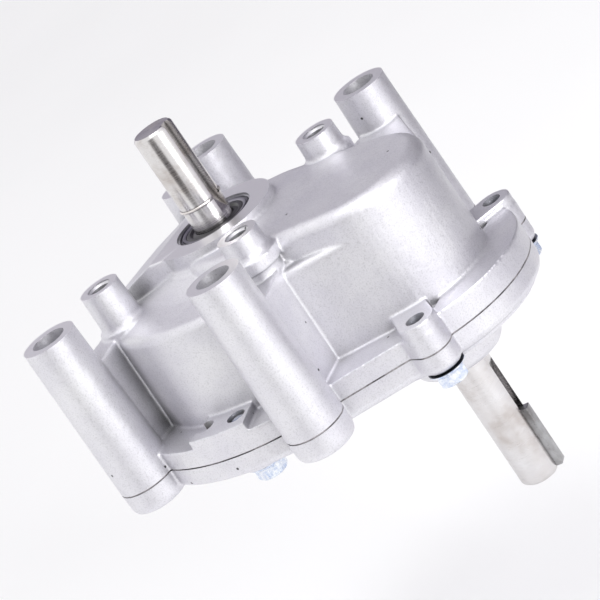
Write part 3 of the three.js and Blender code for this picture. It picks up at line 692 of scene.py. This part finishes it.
def upper_housing():
    obj = make("upper_housing_casting", housing_skin)
    cast(obj)
    boolean(obj, make("joint_face", lambda bm: trimming_slab(bm, PARTING - TRIM, PARTING)))
    boolean(obj, make("post_faces", lambda bm: trimming_slab(bm, 0, TRIM)))
    boolean(obj, make("seal_face", seal_face_trim))
    boolean(obj, make("ramp_plane", ramp_trim))
    boolean(obj, make("chamber_cavity", chamber_cavity))
    boolean(obj, make("nose_cavity", nose_cavity))
    boolean(obj, make("bores", upper_bores))
    boolean(obj, make("holes", housing_holes))
    shade(obj)
    finish_piece(obj, "casing", CAST, "cast_aluminium", "upper_housing")


# ---------- lower cover ----------
def cover_skin(bm):
    edge = COVER["round"]
    eased = edge * COVER["round_share"]
    top = COVER_TOP + SPARE["joint"]
    flange(bm, COVER["plate"] + edge, top)
    flange(bm, COVER["plate"] + eased, top, eased)
    flange(bm, COVER["plate"], top, edge)
    x, y, r = NOSE_RIM
    prism(bm, belt((0, 0, NECK["r"]), (x, y, r - COVER["nose_inset"])), COVER["nose"], top)
    for x, y in POSTS:
        foot = [(POST["base_r"] - inset, COVER["post"] + rise) for inset, rise in POST_FOOT]
        rod(bm, [*foot, (POST["base_r"], top)], (x, y), 64)
    plate = COVER["plate"]
    boss = [(BOLT_BOSS["face_r"], plate), (BOLT_BOSS["root_r"], plate + BOLT_BOSS["height"])]
    for x, y in RIM_BOLTS:
        rod(bm, boss, (x, y), 48)
    for profile, centre in ((INPUT_BOSS, INPUT), (OUTPUT_END, OUTPUT)):
        widest = profile[0][0]
        rod(bm, [*profile[::-1], (widest, top)], centre, 96)


def input_face_trim(bm):
    face = INPUT_BOSS[-1][1]
    tube_ring(bm, INPUT_FACE["inner"], INPUT_FACE["outer"], face - INPUT_FACE["below"], face, INPUT)


def bolt_hole(bm, x, y):
    """A bolt's hole, with the round flat that its head sits on."""
    seat_r, r, plate = BOLT_HOLE["seat_r"], BOLT_HOLE["r"], COVER["plate"]
    rod(bm, [(seat_r, COVER["nose"] - PAST), (seat_r, plate), (r, plate), (r, COVER_HOLE_TOP)], (x, y), 48)


def cover_holes(bm):
    for x, y in POSTS:
        rod(bm, [(POST["bore_r"], COVER["post"] - PAST), (POST["bore_r"], COVER_HOLE_TOP)], (x, y), 64)
    for x, y in BOLTS:
        bolt_hole(bm, x, y)
    for x, y in DOWELS:
        rod(bm, [(DOWEL_HOLE["r"], DOWEL_HOLE["floor"]), (DOWEL_HOLE["r"], COVER_HOLE_TOP)], (x, y), 40)
    for shaft in ("output", "input"):
        bearing_bore(bm, f"{shaft}_lower_bearing_outer_race", 0, BEARING["to_inside"])


def input_seal_bore(bm):
    rod(bm, INPUT_SEAL_BORE, INPUT, 96)


def lower_cover():
    obj = make("lower_cover_casting", cover_skin)
    cast(obj)
    boolean(obj, make("joint_face", lambda bm: trimming_slab(bm, COVER_TOP, COVER_TOP + TRIM)))
    boolean(obj, make("face", input_face_trim))
    boolean(obj, make("holes", cover_holes))
    boolean(obj, make("seal_bore", input_seal_bore))
    shade(obj)
    finish_piece(obj, "casing", CAST, "cast_aluminium", "lower_cover")


# ---------- shafts and key ----------
def keyway(bm, centre, heading, open_z, run_out_z):
    """A keyway milled from the shaft's end with a disc cutter, so its far end rises on a radius."""
    r, floor, half = KEY["cutter_r"], KEY["floor"], KEY["half"]
    depth = SHAFT["r"] - floor
    run = math.sqrt(r * r - (r - depth) ** 2)
    side = math.copysign(1, open_z - run_out_z)
    deep_z = run_out_z + side * run
    run_on = 1.12
    steps = 16
    curve = []
    for i in range(steps + 1):
        z = deep_z - side * run * run_on * i / steps
        curve.append((floor + r - math.sqrt(r * r - (deep_z - z) ** 2), z))
    clear = SHAFT["r"] + 4
    section = [(floor, open_z), *curve, (clear, curve[-1][1]), (clear, open_z)]
    sides = []
    for across in (-half, half):
        flat = turned([(u, across) for u, _ in section], centre, heading)
        sides.append([(x, y, z) for (x, y), (_, z) in zip(flat, section)])
    loft(bm, sides)


def bottom_end(z, chamfer):
    """The chamfered lower end of a shaft, eased where the chamfer meets the shaft."""
    r, ease = SHAFT["r"], CHAMFER_EASE
    eased = (r - ease["in"], z + chamfer * ease["share"])
    return [(r - chamfer, z), eased, (r, z + chamfer + ease["length"])]


def top_end(z, chamfer):
    """The chamfered upper end of a shaft, eased the same way."""
    r, ease = SHAFT["r"], CHAMFER_EASE
    eased = (r - ease["in"], z - chamfer * ease["share"])
    return [(r, z - chamfer - ease["length"]), eased, (r - chamfer, z)]


def snap_ring_groove():
    z = (low("shaft_snap_ring").z + high("shaft_snap_ring").z) / 2
    r, floor_r = SHAFT["r"], SNAP_GROOVE["r"]
    mouth, half = SNAP_GROOVE["half_mouth"], SNAP_GROOVE["half"]
    return [(r, z - mouth), (floor_r, z - half), (floor_r, z + half), (r, z + mouth)]


def gear_key_seat(bm):
    """The slot for the gear's key."""
    inner, outer, half = GEAR_KEY_SEAT["inner"], GEAR_KEY_SEAT["outer"], KEY["half"]
    outline = [(inner, -half), (outer, -half), (outer, half), (inner, half)]
    prism(bm, turned(outline, OUTPUT, OUTPUT_HEADING), GEAR_KEY_SEAT["low"], GEAR_KEY_SEAT["high"])


def output_shaft():
    bottom, top = low("output_shaft").z, high("output_shaft").z
    chamfer = SHAFT["output_chamfer"]
    profile = [*bottom_end(bottom, chamfer), *OUTPUT_COLLAR, *snap_ring_groove(), *top_end(top, chamfer)]
    obj = make("output_shaft_ground", lambda bm: rod(bm, profile, steps=128))
    open_z = top + KEYWAY_END["past"]
    boolean(obj, make("keyway", lambda bm: keyway(bm, OUTPUT, OUTPUT_HEADING, open_z, KEYWAY_END["output"])))
    boolean(obj, make("key_seat", gear_key_seat))
    shade(obj)
    finish_piece(obj, "output_train", STEEL, "ground_steel", "output_shaft")


def tooth_gaps(bm):
    """The spaces between the pinion's teeth, from TOOTH_GAP's (radius, half of the angle between flanks)."""
    for k in range(TEETH["count"]):
        middle = 2 * math.pi * (k + 0.5) / TEETH["count"]
        flank = [(r, middle + half) for r, half in TOOTH_GAP]
        other = [(r, middle - half) for r, half in TOOTH_GAP[::-1]]
        outline = [(INPUT[0] + r * math.cos(a), INPUT[1] + r * math.sin(a)) for r, a in flank + other]
        prism(bm, outline, TEETH["low"], TEETH["high"])


def input_shaft():
    """The input shaft with its pinion, cut in one piece."""
    bottom = low("input_pinion_shaft").z
    profile = [*bottom_end(bottom, SHAFT["input_chamfer"]), *PINION, *PINION_TAIL]
    obj = make("input_shaft_ground", lambda bm: rod(bm, profile, INPUT, 128))
    boolean(obj, make("teeth", tooth_gaps))
    open_z = bottom - KEYWAY_END["past"]
    boolean(obj, make("keyway", lambda bm: keyway(bm, INPUT, INPUT_HEADING, open_z, KEYWAY_END["input"])))
    shade(obj)
    finish_piece(obj, "input_train", STEEL, "ground_steel", "input_pinion_shaft")


def feather_key():
    """The input shaft's key, a box with eased edges that fills its keyway."""
    z0, z1 = low("input_shaft_key").z, high("input_shaft_key").z
    inner = KEY["floor"] + KEY["play"]
    outer = inner + KEY["height"]
    half = KEY["half"] - KEY["play"]
    outline = turned([(inner, -half), (outer, -half), (outer, half), (inner, half)], INPUT, INPUT_HEADING)
    obj = make("feather_key", lambda bm: prism(bm, outline, z0, z1))
    ease = obj.modifiers.new("ease", "BEVEL")
    ease.width = KEY["ease"]
    ease.segments = 3
    ease.limit_method = "ANGLE"
    apply_modifiers(obj)
    shade(obj)
    finish_piece(obj, "input_train", GEAR_STEEL, "gear_steel", "input_shaft_key")


# ---------- snap ring, seals and fasteners ----------
def snap_ring():
    """A ring of round wire, open over the keyway."""
    z = (low("shaft_snap_ring").z + high("shaft_snap_ring").z) / 2
    r, wire, half_gap = SNAP_RING["r"], SNAP_RING["wire"], math.radians(SNAP_RING["half_gap"])
    along, around = 72, 12
    rings = []
    for i in range(along + 1):
        a = OUTPUT_HEADING + half_gap + (2 * math.pi - 2 * half_gap) * i / along
        ring = []
        for k in range(around):
            t = 2 * math.pi * k / around
            reach = r + wire * math.cos(t)
            ring.append((reach * math.cos(a), reach * math.sin(a), z + wire * math.sin(t)))
        rings.append(ring)
    obj = make("snap_ring_wire", lambda bm: loft(bm, rings))
    shade(obj, 50)
    finish_piece(obj, "output_train", RING_STEEL, "ground_steel", "shaft_snap_ring")


def seal(name, node, centre, face, up):
    """A lip seal: a rubber lip and the bare metal case round it. Its face looks up (1) or down (-1)."""
    outer = (high(node).x - low(node).x) / 2
    lip = [(r, face - depth * up) for r, depth in SEAL_LIP]
    rubber = make(name + "_lip", lambda bm: lathe(bm, lip, centre, 96))
    shade(rubber)
    finish_piece(rubber, "casing", RUBBER, "black_rubber", node)
    section = [*CASE_TOP, *((outer - inset, depth) for inset, depth in CASE_RIM), *CASE_BOTTOM]
    case = [(r, face - depth * up) for r, depth in section]
    metal = make(name + "_case", lambda bm: lathe(bm, case, centre, 96))
    shade(metal)
    finish_piece(metal, "casing", SEAL_CASE, "black_rubber", node)


def flange_bolt(index):
    """A zinc-plated hex flange bolt, head down, its shank's end showing in the hole above."""
    node = f"cover_bolt_{index + 1}"
    x, y = BOLTS[index]
    head, tip = low(node).z, high(node).z
    seat = head + BOLT["head"]
    turn = BOLT["turn"] * index + BOLT["first_turn"]
    shank_r = BOLT["shank_r"]
    washer = [(r, seat - below) for r, below in BOLT_FLANGE]
    shank = [(shank_r, seat), (shank_r, tip - BOLT["tip"]), (BOLT["tip_r"], tip)]
    crown = [(r, head + rise) for r, rise in BOLT_CROWN]
    widest = crown[-1][0]
    hexagon = arc(x, y, BOLT["across_flats"] / math.sqrt(3), turn, turn + 300, 5)

    obj = make(f"flange_bolt_{index + 1}", lambda bm: rod(bm, washer + shank, (x, y), 48))
    hex_head = make("hex", lambda bm: prism(bm, hexagon, head, seat - BOLT["hex_into_flange"]))
    rounding = make("crown", lambda bm: rod(bm, [*crown, (widest, seat)], (x, y), 48))
    boolean(hex_head, rounding, "INTERSECT")
    boolean(obj, hex_head, "UNION")
    shade(obj, 30)
    finish_piece(obj, "casing", ZINC, "zinc_plate", node)


def dowel(index):
    node = f"dowel_pin_{index + 1}"
    bottom = [(r, low(node).z + rise) for r, rise in DOWEL_BOTTOM]
    top = [(r, high(node).z - drop) for r, drop in DOWEL_TOP]
    obj = make(f"dowel_{index + 1}", lambda bm: rod(bm, bottom + top, DOWELS[index], 48))
    shade(obj)
    finish_piece(obj, "casing", PIN_STEEL, "ground_steel", node)


upper_housing()
lower_cover()
output_shaft()
input_shaft()
snap_ring()
feather_key()
seal("output_seal", "output_oil_seal", OUTPUT, high("output_oil_seal").z, 1)
seal("input_seal", "input_oil_seal", INPUT, low("input_oil_seal").z, -1)
for number in range(len(BOLTS)):
    flange_bolt(number)
for number in range(len(DOWELS)):
    dowel(number)

# ---------- pieces that keep their CAD shape ----------
NODE_MATERIALS = {
    "cast_aluminium": CAST, "ground_steel": STEEL, "gear_steel": GEAR_STEEL, "bearing_steel": RACE_STEEL,
    "brass": BRASS, "zinc_plate": ZINC, "black_rubber": RUBBER, "gasket_paper": GASKET,
}
SLOTS = {part["node"]: part["material_slot"] for part in frame["record"]["subparts"]}
for name, node in frame["nodes"].items():
    node.data.materials.clear()
    node.data.materials.append(NODE_MATERIALS[SLOTS[name]])


# ---------- camera, light and floor ----------
CAMERA = {"azimuth": 41.36, "elevation": 16.81, "roll": -34.90, "sensor": 36, "lens": 162.7,
          "shift_x": 0.1396, "shift_y": -0.0362, "at": (0.7680, -0.8938, 0.3266)}
LIGHTS_AIM = (0.02, 0, -0.06)
FLOOR = {"top": -260, "thickness": 2, "near": -420, "near_half": 520, "far": 13000, "far_half": 2800}


def camera():
    azimuth, elevation, roll = (math.radians(CAMERA[a]) for a in ("azimuth", "elevation", "roll"))
    forward = Vector((-math.sin(azimuth) * math.cos(elevation), math.cos(azimuth) * math.cos(elevation),
                      -math.sin(elevation)))
    level = Vector((math.cos(azimuth), math.sin(azimuth), 0))
    upright = level.cross(forward)
    right = math.cos(roll) * level + math.sin(roll) * upright
    up = math.cos(roll) * upright - math.sin(roll) * level
    data = bpy.data.cameras.new("camera")
    data.sensor_width = CAMERA["sensor"]
    data.lens = CAMERA["lens"]
    data.shift_x = CAMERA["shift_x"]
    data.shift_y = CAMERA["shift_y"]
    data.clip_end = 100
    obj = bpy.data.objects.new("camera", data)
    at = Vector(CAMERA["at"])
    obj.matrix_world = Matrix((
        (right.x, up.x, -forward.x, at.x),
        (right.y, up.y, -forward.y, at.y),
        (right.z, up.z, -forward.z, at.z),
        (0, 0, 0, 1),
    ))
    bpy.context.scene.collection.objects.link(obj)
    bpy.context.scene.camera = obj


def area_light(name, position, size, energy):
    data = bpy.data.lights.new(name, "AREA")
    data.size = size
    data.energy = energy
    obj = bpy.data.objects.new(name, data)
    obj.location = position
    aim = Vector(LIGHTS_AIM) - obj.location
    obj.rotation_mode = "QUATERNION"
    obj.rotation_quaternion = aim.to_track_quat("-Z", "Y")
    bpy.context.scene.collection.objects.link(obj)


def floor():
    """A pale sheet under the gearbox that widens away from the camera."""
    away = math.radians(90 + CAMERA["azimuth"])
    ahead = Vector((math.cos(away), math.sin(away)))
    aside = Vector((ahead.y, -ahead.x))
    near, near_half, far, far_half = (FLOOR[k] for k in ("near", "near_half", "far", "far_half"))
    spots = ((near, -near_half), (near, near_half), (far, far_half), (far, -far_half))
    corners = [ahead * distance + aside * width for distance, width in spots]
    outline = [(c.x, c.y) for c in corners]
    obj = make("floor", lambda bm: prism(bm, outline, FLOOR["top"] - FLOOR["thickness"], FLOOR["top"]))
    obj.data.transform(Matrix.Scale(MM, 4))
    n = Nodes("floor_paint")
    n.set(base_color=n.ramp(n.noise(3, 2), [(0.3, 0.94), (0.7, 0.96)]), roughness=0.9)
    obj.data.materials.append(n.material)


def world():
    """A soft white studio with a broad dark wall on its +Y side and a narrow dark card in front."""
    data = bpy.data.worlds.new("studio")
    data.use_nodes = True
    sky = Tree(data.node_tree)
    direction = sky.tree.nodes.new("ShaderNodeTexCoord").outputs["Generated"]

    def facing(degrees, stops):
        """Colours by how nearly a direction points the given way, from 0 (square to it) to 1 (along it)."""
        along = sky.tree.nodes.new("ShaderNodeVectorMath")
        along.operation = "DOT_PRODUCT"
        heading = math.radians(degrees)
        along.inputs[1].default_value = (math.cos(heading), math.sin(heading), 0)
        sky.link(direction, along.inputs[0])
        return sky.ramp(along.outputs["Value"], stops)

    wall = facing(80, [(0.1, (1, 1, 1)), (0.3, (0.90, 0.88, 0.92)), (0.55, (0.38, 0.36, 0.42)),
                       (0.88, (0.13, 0.12, 0.15))])
    card = facing(-83, [(0.93, (1, 1, 1)), (0.975, (0.06, 0.05, 0.05))])
    background = sky.tree.nodes["Background"]
    sky.link(sky.times(wall, card), background.inputs["Color"])
    background.inputs["Strength"].default_value = 1.1
    bpy.context.scene.world = data


camera()
floor()
world()
area_light("key", (1.3, -0.55, 0.45), 0.55, 11)
area_light("top", (0.25, -0.45, 1.5), 0.9, 5)
bpy.context.scene.view_settings.view_transform = "Standard"
